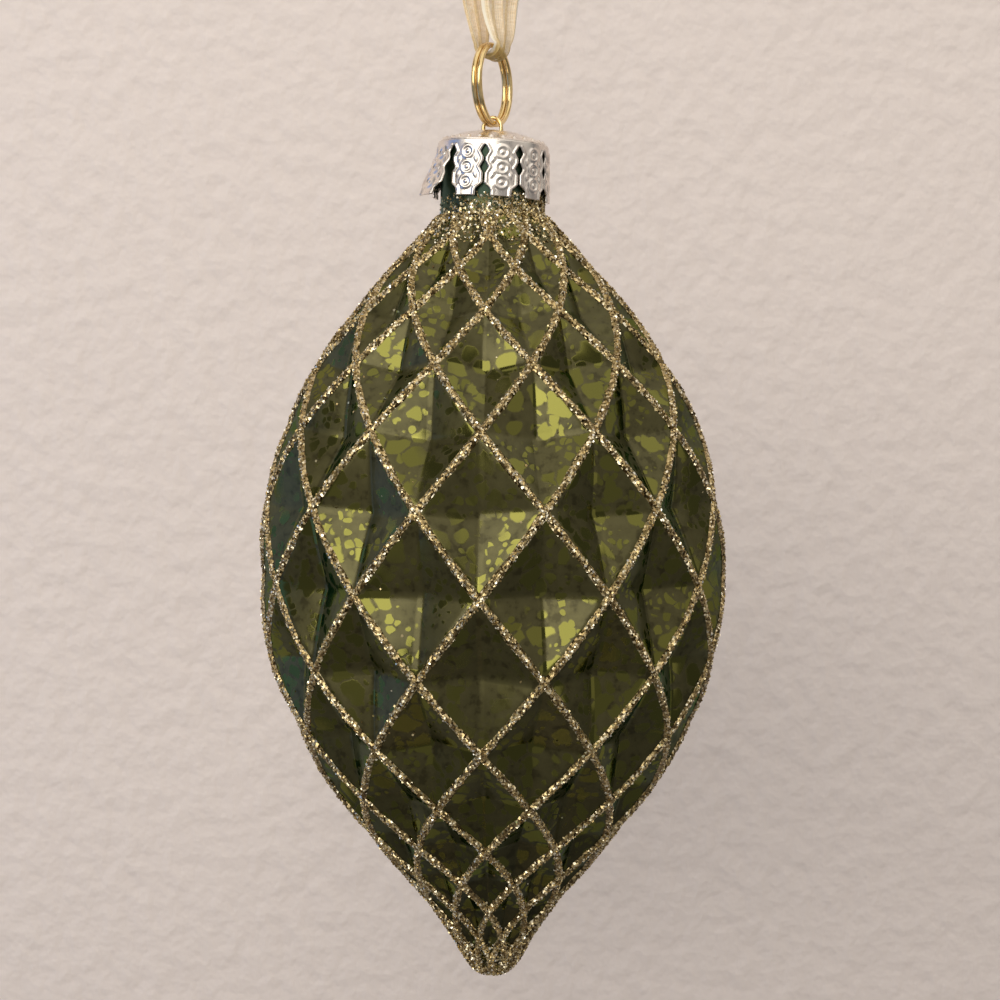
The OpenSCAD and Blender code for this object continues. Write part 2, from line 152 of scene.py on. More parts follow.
def ramp(nodes, links, source, stops, interpolation="LINEAR"):
    node = nodes.new("ShaderNodeValToRGB")
    node.color_ramp.interpolation = interpolation
    while len(node.color_ramp.elements) < len(stops):
        node.color_ramp.elements.new(0.5)
    for element, (place, colour) in zip(node.color_ramp.elements, stops):
        element.position = place
        element.color = colour if len(colour) == 4 else (*colour, 1.0)
    links.new(source, node.inputs["Fac"])
    return node.outputs["Color"]


def grey(value):
    return (value, value, value, 1.0)


def mix_colour(nodes, links, factor, a, b, blend="MIX"):
    node = nodes.new("ShaderNodeMix")
    node.data_type = "RGBA"
    node.blend_type = blend
    for socket, value in ((node.inputs[0], factor), (node.inputs[6], a), (node.inputs[7], b)):
        if isinstance(value, bpy.types.NodeSocket):
            links.new(value, socket)
        else:
            socket.default_value = value
    return node.outputs[2]


def maths(nodes, links, operation, a, b=0.0):
    node = nodes.new("ShaderNodeMath")
    node.operation = operation
    for socket, value in zip(node.inputs, (a, b)):
        if isinstance(value, bpy.types.NodeSocket):
            links.new(value, socket)
        else:
            socket.default_value = value
    return node.outputs[0]


def map_range(nodes, links, source, low, high, to_low=0.0, to_high=1.0, smooth=False):
    """A value moved from one range to another and held at its ends."""
    node = nodes.new("ShaderNodeMapRange")
    node.interpolation_type = "SMOOTHSTEP" if smooth else "LINEAR"
    for name, value in (("From Min", low), ("From Max", high), ("To Min", to_low), ("To Max", to_high)):
        node.inputs[name].default_value = value
    links.new(source, node.inputs["Value"])
    return node.outputs["Result"]


# a blotch fades in over this range of its depth inside the edge, in cells
BLOTCH_EDGE = (-0.03, 0.06)
# heights between which the lining starts below the neck, and between which the lacquer is painted darker as
# painted shade toward the tip
LINING_Z = (NECK_ROOT_Z + 2.5, NECK_ROOT_Z - 1.0)
TIP_SHADE_Z = (WAIST_Z - 18.0, WAIST_Z - 48.0)
TIP_SHADE_SHARE = 0.5
# how far the blotches' outlines wander
WANDER = 1.5
LACQUER_SHADES = [
    (0.36, (0.050, 0.042, 0.015)),
    (0.45, (0.078, 0.068, 0.026)),
    (0.66, (0.092, 0.081, 0.032)),
]
GLUE_SHADES = [
    (0.0, (0.10, 0.060, 0.022)),
    (0.45, (0.32, 0.23, 0.095)),
    (0.8, (0.66, 0.51, 0.25)),
    (1.0, (0.97, 0.89, 0.68)),
]
FLAKE_SHADES = [
    (0.0, (0.20, 0.125, 0.045)),
    (0.35, (0.52, 0.39, 0.17)),
    (0.7, (0.88, 0.75, 0.45)),
    (1.0, (1.0, 0.97, 0.86)),
]
GRAIN_TILT = 1.3
# threads of the ribbon, the place of its close-woven edge from the middle, and the reach of the painted
# shade in the gather
WEFT_PITCH = 0.22
WARP_PITCH = 0.18
SELVEDGE = (4.6, 4.8)
GATHER_SHADE_REACH = (5.0, 1.5)


def blotches(nodes, links, place, scale, least, most, gap):
    """Rounded blotches of many sizes that stay apart; a cell whose radius is below nothing stays bare."""
    edge = add(nodes, "ShaderNodeTexVoronoi", feature="DISTANCE_TO_EDGE", Scale=scale, Randomness=1.0)
    cells = add(nodes, "ShaderNodeTexVoronoi", feature="F1", Scale=scale, Randomness=1.0)
    for node in (edge, cells):
        links.new(place, node.inputs["Vector"])
    own = nodes.new("ShaderNodeSeparateColor")
    links.new(cells.outputs["Color"], own.inputs["Color"])
    radius = map_range(nodes, links, own.outputs[0], 0.0, 1.0, least, most)
    rounded_in = maths(nodes, links, "SUBTRACT", radius, cells.outputs["Distance"])
    apart = maths(nodes, links, "SUBTRACT", edge.outputs["Distance"], gap)
    inside = maths(nodes, links, "MINIMUM", rounded_in, apart)
    return map_range(nodes, links, inside, *BLOTCH_EDGE, smooth=True), own.outputs[2]


def make_glass():
    material, nodes, links, shader = new_material("antiqued_silvered_glass")
    place = add(nodes, "ShaderNodeTexCoord").outputs["Object"]
    wander = add(nodes, "ShaderNodeTexNoise", Scale=420.0, Detail=1.0, Roughness=0.4)
    links.new(place, wander.inputs["Vector"])
    moved = add(nodes, "ShaderNodeVectorMath", operation="MULTIPLY_ADD")
    links.new(wander.outputs["Color"], moved.inputs[0])
    moved.inputs[1].default_value = (WANDER * MM,) * 3
    links.new(place, moved.inputs[2])
    moved = moved.outputs[0]
    large, tint = blotches(nodes, links, moved, scale=340.0, least=-0.08, most=0.76, gap=0.05)
    small, _ = blotches(nodes, links, moved, scale=760.0, least=-0.15, most=0.70, gap=0.06)
    either = maths(nodes, links, "MAXIMUM", large, small)
    # broad patches where the lining has nearly gone
    patch = add(nodes, "ShaderNodeTexNoise", Scale=85.0, Detail=2.0, Roughness=0.5)
    links.new(place, patch.inputs["Vector"])
    kept = ramp(nodes, links, patch.outputs["Fac"], [(0.32, grey(0.1)), (0.44, grey(1.0))])
    lined = maths(nodes, links, "MULTIPLY", either, kept)
    # the neck has no lining
    height = nodes.new("ShaderNodeSeparateXYZ")
    links.new(place, height.inputs[0])
    below_neck = map_range(nodes, links, height.outputs[2], LINING_Z[0] * MM, LINING_Z[1] * MM)
    silver = maths(nodes, links, "MULTIPLY", lined, below_neck)
    # dull olive lacquer between the blotches, with darker spots
    spots = add(nodes, "ShaderNodeTexNoise", Scale=560.0, Detail=3.0, Roughness=0.6)
    links.new(place, spots.inputs["Vector"])
    dull = ramp(nodes, links, spots.outputs["Fac"], LACQUER_SHADES)
    # painted shade: the lacquer is painted darker toward the tip
    painted_tip_shade = map_range(nodes, links, height.outputs[2], TIP_SHADE_Z[0] * MM, TIP_SHADE_Z[1] * MM, to_high=TIP_SHADE_SHARE)
    dull = mix_colour(nodes, links, painted_tip_shade, dull, (0.012, 0.010, 0.004, 1.0))
    body = mix_colour(nodes, links, below_neck, (0.030, 0.050, 0.030, 1.0), dull)
    bright = mix_colour(nodes, links, tint, (0.115, 0.110, 0.022, 1.0), (0.165, 0.157, 0.034, 1.0))
    colour = mix_colour(nodes, links, silver, body, bright)
    links.new(colour, shader.inputs["Base Color"])
    metallic = ramp(nodes, links, silver, [(0.0, grey(0.68)), (1.0, grey(1.0))])
    links.new(metallic, shader.inputs["Metallic"])
    roughness = ramp(nodes, links, silver, [(0.0, grey(0.34)), (1.0, grey(0.13))])
    links.new(roughness, shader.inputs["Roughness"])
    bump = add(nodes, "ShaderNodeBump", Strength=0.06, Distance=0.0002)
    links.new(silver, bump.inputs["Height"])
    links.new(bump.outputs["Normal"], shader.inputs["Normal"])
    # painted reflection: a teal tint on the grazing reflections stands in for cool room light mirrored by
    # the glass
    shader.inputs["Specular Tint"].default_value = (0.30, 0.50, 0.45, 1.0)
    shader.inputs["Specular IOR Level"].default_value = 0.25
    shader.inputs["Coat Weight"].default_value = 0.15
    shader.inputs["Coat Roughness"].default_value = 0.1
    return material


def make_glitter(name, grain_scale):
    """Champagne glitter: every grain has its own tilt and its own shade."""
    material, nodes, links, shader = new_material(name)
    place = add(nodes, "ShaderNodeTexCoord").outputs["Object"]
    grains = add(nodes, "ShaderNodeTexVoronoi", Scale=grain_scale)
    links.new(place, grains.inputs["Vector"])
    centred = add(nodes, "ShaderNodeVectorMath", operation="SUBTRACT")
    links.new(grains.outputs["Color"], centred.inputs[0])
    centred.inputs[1].default_value = (0.5, 0.5, 0.5)
    tilt = add(nodes, "ShaderNodeVectorMath", operation="MULTIPLY_ADD")
    links.new(centred.outputs[0], tilt.inputs[0])
    tilt.inputs[1].default_value = (GRAIN_TILT,) * 3
    facing = add(nodes, "ShaderNodeNewGeometry")
    links.new(facing.outputs["Normal"], tilt.inputs[2])
    straight = add(nodes, "ShaderNodeVectorMath", operation="NORMALIZE")
    links.new(tilt.outputs[0], straight.inputs[0])
    links.new(straight.outputs[0], shader.inputs["Normal"])
    shade = nodes.new("ShaderNodeSeparateColor")
    links.new(grains.outputs["Color"], shade.inputs["Color"])
    links.new(ramp(nodes, links, shade.outputs[2], GLUE_SHADES), shader.inputs["Base Color"])
    shader.inputs["Metallic"].default_value = 0.75
    shader.inputs["Roughness"].default_value = 0.3
    return material


def make_flakes():
    """Single flakes that stand out of the glue, each with a shade of its own."""
    material, nodes, links, shader = new_material("glitter_flakes")
    own = add(nodes, "ShaderNodeNewGeometry").outputs["Random Per Island"]
    links.new(ramp(nodes, links, own, FLAKE_SHADES), shader.inputs["Base Color"])
    links.new(ramp(nodes, links, own, [(0.0, grey(0.4)), (1.0, grey(0.16))]), shader.inputs["Roughness"])
    shader.inputs["Metallic"].default_value = 0.8
    return material


def make_metal(name, dark, light, roughness, scratch_scale, scratch_stretch):
    """Bright metal with fine draw marks and a little dulling."""
    material, nodes, links, shader = new_material(name)
    place = add(nodes, "ShaderNodeTexCoord").outputs["Object"]
    stretch = add(nodes, "ShaderNodeMapping")
    stretch.inputs["Scale"].default_value = scratch_stretch
    links.new(place, stretch.inputs["Vector"])
    marks = add(nodes, "ShaderNodeTexNoise", Scale=scratch_scale, Detail=5.0, Roughness=0.7)
    links.new(stretch.outputs[0], marks.inputs["Vector"])
    cloud = add(nodes, "ShaderNodeTexNoise", Scale=380.0, Detail=3.0)
    links.new(place, cloud.inputs["Vector"])
    colour = ramp(nodes, links, cloud.outputs["Fac"], [(0.35, dark), (0.65, light)])
    links.new(colour, shader.inputs["Base Color"])
    worn = [(0.3, grey(roughness * 0.7)), (0.7, grey(roughness * 1.5))]
    links.new(ramp(nodes, links, marks.outputs["Fac"], worn), shader.inputs["Roughness"])
    bump = add(nodes, "ShaderNodeBump", Strength=0.15, Distance=0.00005)
    links.new(marks.outputs["Fac"], bump.inputs["Height"])
    links.new(bump.outputs["Normal"], shader.inputs["Normal"])
    shader.inputs["Metallic"].default_value = 1.0
    return material


def make_organza():
    """Sheer ribbon: fine weave across and along, dense selvedges."""
    material, nodes, links, shader = new_material("sheer_organza")
    uv = add(nodes, "ShaderNodeUVMap", uv_map="weave").outputs["UV"]
    parts = nodes.new("ShaderNodeSeparateXYZ")
    links.new(uv, parts.inputs[0])
    waves = []
    for place, pitch in ((parts.outputs[1], WEFT_PITCH), (parts.outputs[0], WARP_PITCH)):
        angle = maths(nodes, links, "MULTIPLY", place, 2 * math.pi / (pitch * MM))
        waves.append(maths(nodes, links, "SINE", angle))
    threads = maths(nodes, links, "MAXIMUM", *waves)
    from_middle = maths(nodes, links, "ABSOLUTE", parts.outputs[0])
    selvedge = map_range(nodes, links, from_middle, SELVEDGE[0] * MM, SELVEDGE[1] * MM)
    open_weave = ramp(nodes, links, threads, [(0.0, grey(0.58)), (0.9, grey(0.80))])
    alpha = mix_colour(nodes, links, selvedge, open_weave, grey(0.98))
    streak = add(nodes, "ShaderNodeTexNoise", Scale=1500.0, Detail=2.0)
    links.new(uv, streak.inputs["Vector"])
    cloth = ramp(
        nodes, links, streak.outputs["Fac"], [(0.35, (0.86, 0.66, 0.36)), (0.65, (0.98, 0.82, 0.54))]
    )
    # painted shade: the cloth gathered in the ring is painted deeper and darker
    from_ring = maths(nodes, links, "ABSOLUTE", parts.outputs[1])
    gathered = map_range(nodes, links, from_ring, GATHER_SHADE_REACH[0] * MM, GATHER_SHADE_REACH[1] * MM)
    gather_shaded = mix_colour(nodes, links, gathered, cloth, (0.60, 0.43, 0.15, 1.0))
    colour = mix_colour(nodes, links, selvedge, gather_shaded, (1.0, 0.94, 0.78, 1.0))
    links.new(colour, shader.inputs["Base Color"])
    links.new(alpha, shader.inputs["Alpha"])
    shader.inputs["Roughness"].default_value = 0.36
    shader.inputs["Sheen Weight"].default_value = 0.5
    shader.inputs["Sheen Roughness"].default_value = 0.3
    shader.inputs["Sheen Tint"].default_value = (1.0, 0.93, 0.75, 1.0)
    return material


glass_look = make_glass()
glue_look = make_glitter("glitter_in_glue", 3200.0)
flake_look = make_flakes()
cap_look = make_metal(
    "stamped_silver_sheet", dark=(0.70, 0.63, 0.57), light=(0.90, 0.83, 0.74), roughness=0.27,
    scratch_scale=900.0, scratch_stretch=(1.0, 1.0, 0.25),
)
gold_look = make_metal(
    "gold_wire", dark=(0.72, 0.52, 0.23), light=(0.84, 0.65, 0.33), roughness=0.18,
    scratch_scale=1500.0, scratch_stretch=(1.0, 1.0, 1.0),
)
organza_look = make_organza()


# The glass's side, as three smooth curves of (radius, height over the widest row)

BODY_R = 35.0
CURVE_STEPS = 60
LINE_COUNT = 12
AROUND = 2 * LINE_COUNT
HALF_PITCH = math.pi / LINE_COUNT
LATTICE_CLIMB = 0.81
LATTICE_BASE = 20.6
LATTICE_TURN = math.radians(20.3)
DENT_DEPTH = 3.6
TIP_CURVE = [(0, -LOWER_H), (3.6, -LOWER_H), (4.46, -58.8), (5.9, -56.4)]
LOWER_CURVE = [(5.9, -56.4), (14.6, -41.9), (BODY_R, -28.0), (BODY_R, 0)]
UPPER_CURVE = [(BODY_R, 0), (BODY_R, 27.0), (20.4, 40.0), (NECK_R, UPPER_H)]


def bezier(points, share):
    p = np.asarray(points, dtype=float)
    u = np.asarray(share)[:, None]
    return (1 - u) ** 3 * p[0] + 3 * u * (1 - u) ** 2 * p[1] + 3 * u * u * (1 - u) * p[2] + u**3 * p[3]


share = np.arange(1, CURVE_STEPS + 1) / CURVE_STEPS
side = np.vstack([[TIP_CURVE[0]], *(bezier(c, share) for c in (TIP_CURVE, LOWER_CURVE, UPPER_CURVE))])
steps = np.linalg.norm(np.diff(side, axis=0), axis=1)
mean_r = (side[1:, 0] + side[:-1, 0]) / 2
counted = np.concatenate([[0], np.cumsum(steps / (LATTICE_CLIMB * (mean_r + LATTICE_BASE) * HALF_PITCH))])
row_of = counted - counted[2 * CURVE_STEPS]
TIP_ROW, NECK_ROW = row_of[0], row_of[-1]
FIRST_ROW = math.ceil(TIP_ROW + 0.4)
LAST_ROW = math.floor(NECK_ROW - 0.3)


def soft(distance, radius):
    """A distance whose start is rounded off."""
    return distance * np.tanh(distance / radius)


CREASE = 0.018
RIDGE_ROUND = 0.13
# small steps in rows for slopes along the side and on the dented face
SLOPE_STEP = 0.05
NEAR = 0.02


def dent(row, step):
    """Depth below the ridges: a four-sided dent in every diamond, with soft creases and rounded ridges."""
    fr, fs = row - np.floor(row), step - np.floor(step)
    odd = (np.floor(row) + np.floor(step)) % 2 == 1
    far = np.where(odd, fr + fs > 1, fs < fr)
    dr = np.where(far, 1 - fr, fr)
    ds = np.where(odd, np.where(far, 1 - fs, fs), np.where(far, fs, 1 - fs))
    depth = np.clip(1 - soft(dr, CREASE) - soft(ds, CREASE), 0, None)
    fade = np.clip((NECK_ROW - row) / (NECK_ROW - LAST_ROW), 0, 1)
    radius = np.interp(row, row_of, side[:, 0])
    return DENT_DEPTH * radius / BODY_R * soft(depth, RIDGE_ROUND) * fade


def on_side(row, step, raise_by=0.0):
    """A point raised over the dented glass at a row and a step round the axis."""
    row, step = np.broadcast_arrays(np.asarray(row, dtype=float), np.asarray(step, dtype=float))
    r, z = np.interp(row, row_of, side[:, 0]), np.interp(row, row_of, side[:, 1])
    after, before = row + SLOPE_STEP, row - SLOPE_STEP
    dr = np.interp(after, row_of, side[:, 0]) - np.interp(before, row_of, side[:, 0])
    dz = np.interp(after, row_of, side[:, 1]) - np.interp(before, row_of, side[:, 1])
    size = np.hypot(dr, dz)
    lift = raise_by - dent(row, step)
    r = np.maximum(r + lift * dz / size, 0)
    z = z - lift * dr / size
    a = LATTICE_TURN + step * HALF_PITCH
    return np.stack([r * np.cos(a), r * np.sin(a), WAIST_Z + z], axis=-1)


# Blown glass: the dented outside, the neck with its lip, and a plain inside

FINE = 14
TIP_HOOPS = 10
SHOULDER_HOOPS = 12
NECK_HOOPS = 10
LIP_HOOPS = 9
BORE_HOOPS = 6
INNER_HOOPS = 40
NECK_START = 0.4
LEAST_R = 0.3
columns = AROUND * FINE
step_of = np.arange(columns) / FINE
row_line = np.concatenate([
    np.linspace(TIP_ROW, FIRST_ROW, TIP_HOOPS)[1:-1],
    np.arange((LAST_ROW - FIRST_ROW) * FINE + 1) / FINE + FIRST_ROW,
    np.linspace(LAST_ROW, NECK_ROW, SHOULDER_HOOPS)[1:],
])
outside = on_side(row_line[:, None], step_of[None, :])
turn = LATTICE_TURN + step_of * HALF_PITCH


def hoop(r, z):
    return np.stack([r * np.cos(turn), r * np.sin(turn), np.full_like(turn, z)], axis=-1)


LIP = WALL / 2
BORE_R = NECK_R - WALL
lip_turn = np.radians(np.linspace(0, 180, LIP_HOOPS))
neck_heights = np.linspace(NECK_START, NECK_H - LIP, NECK_HOOPS)
neck_hoops = [hoop(NECK_R, NECK_ROOT_Z + h) for h in neck_heights]
neck_hoops += [
    hoop(NECK_R - LIP + LIP * math.cos(a), NECK_TOP_Z - LIP + LIP * math.sin(a)) for a in lip_turn[1:]
]
neck_hoops += [hoop(BORE_R, NECK_ROOT_Z + h) for h in np.linspace(NECK_H - LIP, 0, BORE_HOOPS)[1:]]
inner_rows = np.linspace(NECK_ROW, TIP_ROW, INNER_HOOPS)[1:-1]
inner_r = np.interp(inner_rows, row_of, side[:, 0]) * (1 - DENT_DEPTH / BODY_R) - WALL
inner_z = np.interp(inner_rows, row_of, side[:, 1])
inner_hoops = [
    hoop(max(r, LEAST_R), WAIST_Z + z) for r, z in zip(inner_r, inner_z) if z > -LOWER_H + 3 * WALL
]
glass_rows = np.vstack([outside, np.stack(neck_hoops), np.stack(inner_hoops)])
glass_points = np.vstack([glass_rows.reshape(-1, 3), [[0, 0, WAIST_Z - LOWER_H]]])
# each quad is split along the ridge that crosses its cell
row_cells = np.floor(np.concatenate([row_line, np.zeros(len(glass_rows) - len(row_line))]) + 1e-6)
glass_faces = []
for i in range(len(glass_rows) - 1):
    for j in range(columns):
        a, b = i * columns + j, i * columns + (j + 1) % columns
        c, d = b + columns, a + columns
        if (row_cells[i] + j // FINE) % 2 == 0:
            glass_faces += [(a, b, c), (a, c, d)]
        else:
            glass_faces += [(a, b, d), (b, c, d)]
pole = len(glass_points) - 1
glass_faces += [(pole, (j + 1) % columns, j) for j in range(columns)]
end = (len(glass_rows) - 1) * columns
glass_faces.append(tuple(end + j for j in range(columns)))
glass = new_piece("glass_spindle", glass_points, glass_faces, glass_look, "glass")
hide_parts("glass_body")


# Glitter lines along the ridges: a low mound of glue, with flakes standing out of it

GLITTER_W = 1.15
GLITTER_H = 0.38
MOUND = np.linspace(-1, 1, 7)
MOUND_POWER = 2.2
LINE_STEPS = 16
LINE_OVERRUN = 0.6
# the lines are narrower where the glass is slimmer than this radius
FULL_LINE_R = 11.0
LEAST_LINE_SHARE = 0.85
GLUE_LIFT = 0.02
FLAKE_LIFT = 0.05
SCATTER_LIFT = 0.08


def line_share(row):
    """Share of its full width that a line keeps at a row."""
    return np.clip(np.interp(row, row_of, side[:, 0]) / FULL_LINE_R, LEAST_LINE_SHARE, 1.0)


def ridge_frame(row, step, way):
    """Rows and steps for a millimetre across a ridge, and the outward direction."""
    d = NEAR
    by_row = (on_side(row + d, step + way * d) - on_side(row - d, step - way * d)) / (2 * d)
    plain_row = (on_side(row + d, step + 1e-6) - on_side(row - d, step + 1e-6)) / (2 * d)
    plain_step = (on_side(row, step + d) - on_side(row, step - d)) / (2 * d)
    out = unit(np.cross(plain_step, plain_row))
    across = unit(np.cross(out, unit(by_row)))
    rr, ss = np.sum(plain_row**2, -1), np.sum(plain_step**2, -1)
    rs = np.sum(plain_row * plain_step, -1)
    br, bs = np.sum(across * plain_row, -1), np.sum(across * plain_step, -1)
    det = np.maximum(rr * ss - rs * rs, 1e-6)
    return (br * ss - bs * rs) / det, (bs * rr - br * rs) / det, out


mound_points, mound_faces = [], []
LINE_FROM, LINE_TO = FIRST_ROW - LINE_OVERRUN, LAST_ROW + LINE_OVERRUN
line_rows = np.linspace(LINE_FROM, LINE_TO, (LAST_ROW - FIRST_ROW + 1) * LINE_STEPS)
ridges = []
for way in (1, -1):
    for line in range(LINE_COUNT):
        # a ridge runs through the crossings where row and step are both even or both odd
        line_steps = 2 * line + way * line_rows
        ridges.append((way, line_rows, line_steps))
        row_mm, step_mm, _ = ridge_frame(line_rows, line_steps, way)
        # the width wavers as if drawn by hand
        wobble = 1 + 0.12 * np.sin(line_rows * 9.0 + line) + 0.08 * np.sin(line_rows * 23.0 + 2 * line)
        half = GLITTER_W / 2 * wobble * line_share(line_rows)
        offset = half[:, None] * MOUND[None, :]
        height = GLITTER_H * (1 - np.abs(MOUND) ** MOUND_POWER)[None, :] + GLUE_LIFT
        at_rows = line_rows[:, None] + offset * row_mm[:, None]
        at_steps = line_steps[:, None] + offset * step_mm[:, None]
        base = sum(len(p) for p in mound_points)
        mound_points.append(on_side(at_rows, at_steps, height).reshape(-1, 3))
        mound_faces += [
            tuple(base + v for v in (f if way == 1 else f[::-1]))
            for f in grid_faces(len(line_rows), len(MOUND))
        ]
glue = new_piece("glitter_lines", np.vstack(mound_points), mound_faces, glue_look, "glass")
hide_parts("glitter_lattice")


FLAKE_SIDES = 5


def flakes(name, centres, outs, sizes, tilt):
    """Flat flakes at the given points, tilted at random away from the surface."""
    count = len(centres)
    facing = unit(outs + tilt * rng.normal(size=(count, 3)))
    first = unit(np.cross(facing, rng.normal(size=(count, 3))))
    second = np.cross(facing, first)
    corner = np.linspace(0, 2 * math.pi, FLAKE_SIDES, endpoint=False)
    points = centres[:, None] + sizes[:, None, None] * (
        np.cos(corner)[None, :, None] * first[:, None] + np.sin(corner)[None, :, None] * second[:, None]
    )
    faces = np.arange(count * FLAKE_SIDES).reshape(count, FLAKE_SIDES).tolist()
    piece = new_piece(name, points.reshape(-1, 3), faces, flake_look, "glass", smooth=False)


FLAKES_PER_LINE = 1700
FLAKE_R = (0.08, 0.23)
FLAKE_TILT = 0.75
# spread of the flakes across a line, and how far past its edge they reach, in half widths
FLAKE_SPREAD = 0.45
FLAKE_REACH = 1.15
CROWDING = 1.6
centres, outs = [], []
for way, rows, line_steps in ridges:
    pick = rng.uniform(LINE_FROM, LINE_TO, FLAKES_PER_LINE)
    at_step = np.interp(pick, rows, line_steps)
    row_mm, step_mm, out = ridge_frame(pick, at_step, way)
    spread = np.clip(rng.normal(0, FLAKE_SPREAD, FLAKES_PER_LINE), -FLAKE_REACH, FLAKE_REACH)
    offset = spread * GLITTER_W / 2 * line_share(pick)
    height = GLITTER_H * np.clip(1 - np.abs(spread) ** MOUND_POWER, 0, 1) + FLAKE_LIFT
    centres.append(on_side(pick + offset * row_mm, at_step + offset * step_mm, height))
    outs.append(out)
centres, outs = np.vstack(centres), np.vstack(outs)
flakes("ridge_flakes", centres, outs, rng.uniform(*FLAKE_R, len(centres)), FLAKE_TILT)


def scatter(count, low_row, high_row, toward):
    """Points over the glass between two rows, closer together toward one of them."""
    u = rng.uniform(0, 1, count) ** CROWDING
    row = low_row + (high_row - low_row) * (1 - u if toward == "high" else u)
    step = rng.uniform(0, AROUND, count)
    by_step = on_side(row, step + NEAR) - on_side(row, step - NEAR)
    by_row = on_side(row + NEAR, step) - on_side(row - NEAR, step)
    return on_side(row, step, SCATTER_LIFT), unit(np.cross(by_step, by_row))


for name, count, low, high, toward in (
    ("tip_flakes", 3600, TIP_ROW + 0.02, FIRST_ROW + 0.8, "low"),
    ("shoulder_flakes", 4200, LAST_ROW - 0.2, NECK_ROW - 0.01, "high"),
    ("stray_flakes", 420, FIRST_ROW, LAST_ROW, "high"),
):
    centres, outs = scatter(count, low, high, toward)
    flakes(name, centres, outs, rng.uniform(*FLAKE_R, count), FLAKE_TILT)
# glitter that has climbed the neck, more of it on one side
NECK_FLAKES = 2200
NECK_CLIMB = 3.0
NECK_SIDE, NECK_SPREAD = math.radians(-105), math.radians(55)
up = NECK_CLIMB * rng.uniform(0, 1, NECK_FLAKES) ** CROWDING
angle = rng.normal(NECK_SIDE, NECK_SPREAD, NECK_FLAKES)
ring_out = np.stack([np.cos(angle), np.sin(angle), np.zeros_like(angle)], -1)
on_neck = ring_out * (NECK_R + FLAKE_LIFT) + np.stack([0 * up, 0 * up, NECK_ROOT_Z + up], -1)
flakes("neck_flakes", on_neck, ring_out, rng.uniform(*FLAKE_R, NECK_FLAKES), FLAKE_TILT)


# Crown cap: a beaded dome and a skirt of embossed tabs with scalloped sides

SKIRT_GAP = 0.2
SKIRT_R = NECK_R + SKIRT_GAP + SHEET_T
SKIRT_H = 8.3
SKIRT_FLARE = 0.4
DOME_R = (SKIRT_R**2 + DOME_RISE**2) / (2 * DOME_RISE)
TAB_COUNT = 10
TAB_TURN = 15.0
BAND_H = 0.8
SLIT_W = 0.2
GAP_W = 1.2
GAP_H = 2.1
NOTCH_W = 2.2
NOTCH_H = 1.9
SPRUNG_TAB = 3
SPRUNG_ANGLE = math.radians(20)
BEND_DOWN = BAND_H + 0.35 * GAP_H
TAB_COLS = 36
BEAD_COUNT = 27
BEAD_RING_R = 7.55
BEAD_R = 0.45
BEAD_H = 0.34
# radii of the dome: its middle, where the plain part ends and where the beaded part starts
DOME_START_R = 0.3
PLAIN_DOME_R = 6.8
BEADED_DOME_R = 6.95
# the rim's edge is rounded over this width and height
RIM_ROUND = 0.1
RIM_ROUND_H = 0.12
SKIRT_START = 0.25
EMBOSS_FROM = 0.3
EMBOSS_FADE = 0.4
# stamped rings with a stud in each, beads at both sides and a line along each edge of a tab
STAMP_ROWS = (1.9, 4.15, 6.3)
STAMP_R, STAMP_W, STAMP_H = 0.85, 0.36, 0.19
STUD_R, STUD_H = 0.42, 0.21
SIDE_ROWS = (3.0, 5.25, 7.2)
SIDE_X, SIDE_LEAN, SIDE_STRETCH = 1.35, 0.3, 0.55
SIDE_R, SIDE_H = 0.4, 0.18
EDGE_IN, EDGE_W, EDGE_H = 0.32, 0.3, 0.17


def bump_at(distance, radius, height):
    """A rounded bump over a point or a line at that distance."""
    x = np.clip(distance / radius, 0, 1)
    return height * (1 - x * x) ** 2


def gap_at(down):
    """Half the gap between two tabs at a height below the rim."""
    gap = np.where(down > BAND_H + GAP_H / 2, SLIT_W / 2, 0.0)
    for i in range(2):
        middle = BAND_H + (i + 0.5) * GAP_H + i * SLIT_W
        gap = np.maximum(gap, GAP_W / 2 * (1 - np.abs(down - middle) / (GAP_H / 2)))
    from_foot = SKIRT_H - down
    notch = np.where(from_foot < NOTCH_H / 2, 1.0, 2 - 2 * from_foot / NOTCH_H)
    return np.maximum(gap, np.clip(NOTCH_W / 2 * notch, 0, None))


def emboss(x, down, half):
    """Relief of a tab: rings with a bead in each, side beads, and a raised line along both edges."""
    relief = np.zeros_like(x)
    for middle in STAMP_ROWS:
        away = np.hypot(x, down - middle)
        relief = np.maximum(relief, bump_at(np.abs(away - STAMP_R), STAMP_W, STAMP_H))
        relief = np.maximum(relief, bump_at(away, STUD_R, STUD_H))
    for middle in SIDE_ROWS:
        for s in (-1, 1):
            lean = (x - s * SIDE_X) - SIDE_LEAN * s * (down - middle)
            away = np.hypot(lean, SIDE_STRETCH * (down - middle))
            relief = np.maximum(relief, bump_at(away, SIDE_R, SIDE_H))
    edge = np.abs(np.abs(x) - (half - EDGE_IN))
    return np.maximum(relief, np.where(down > BAND_H, bump_at(edge, EDGE_W, EDGE_H), 0))


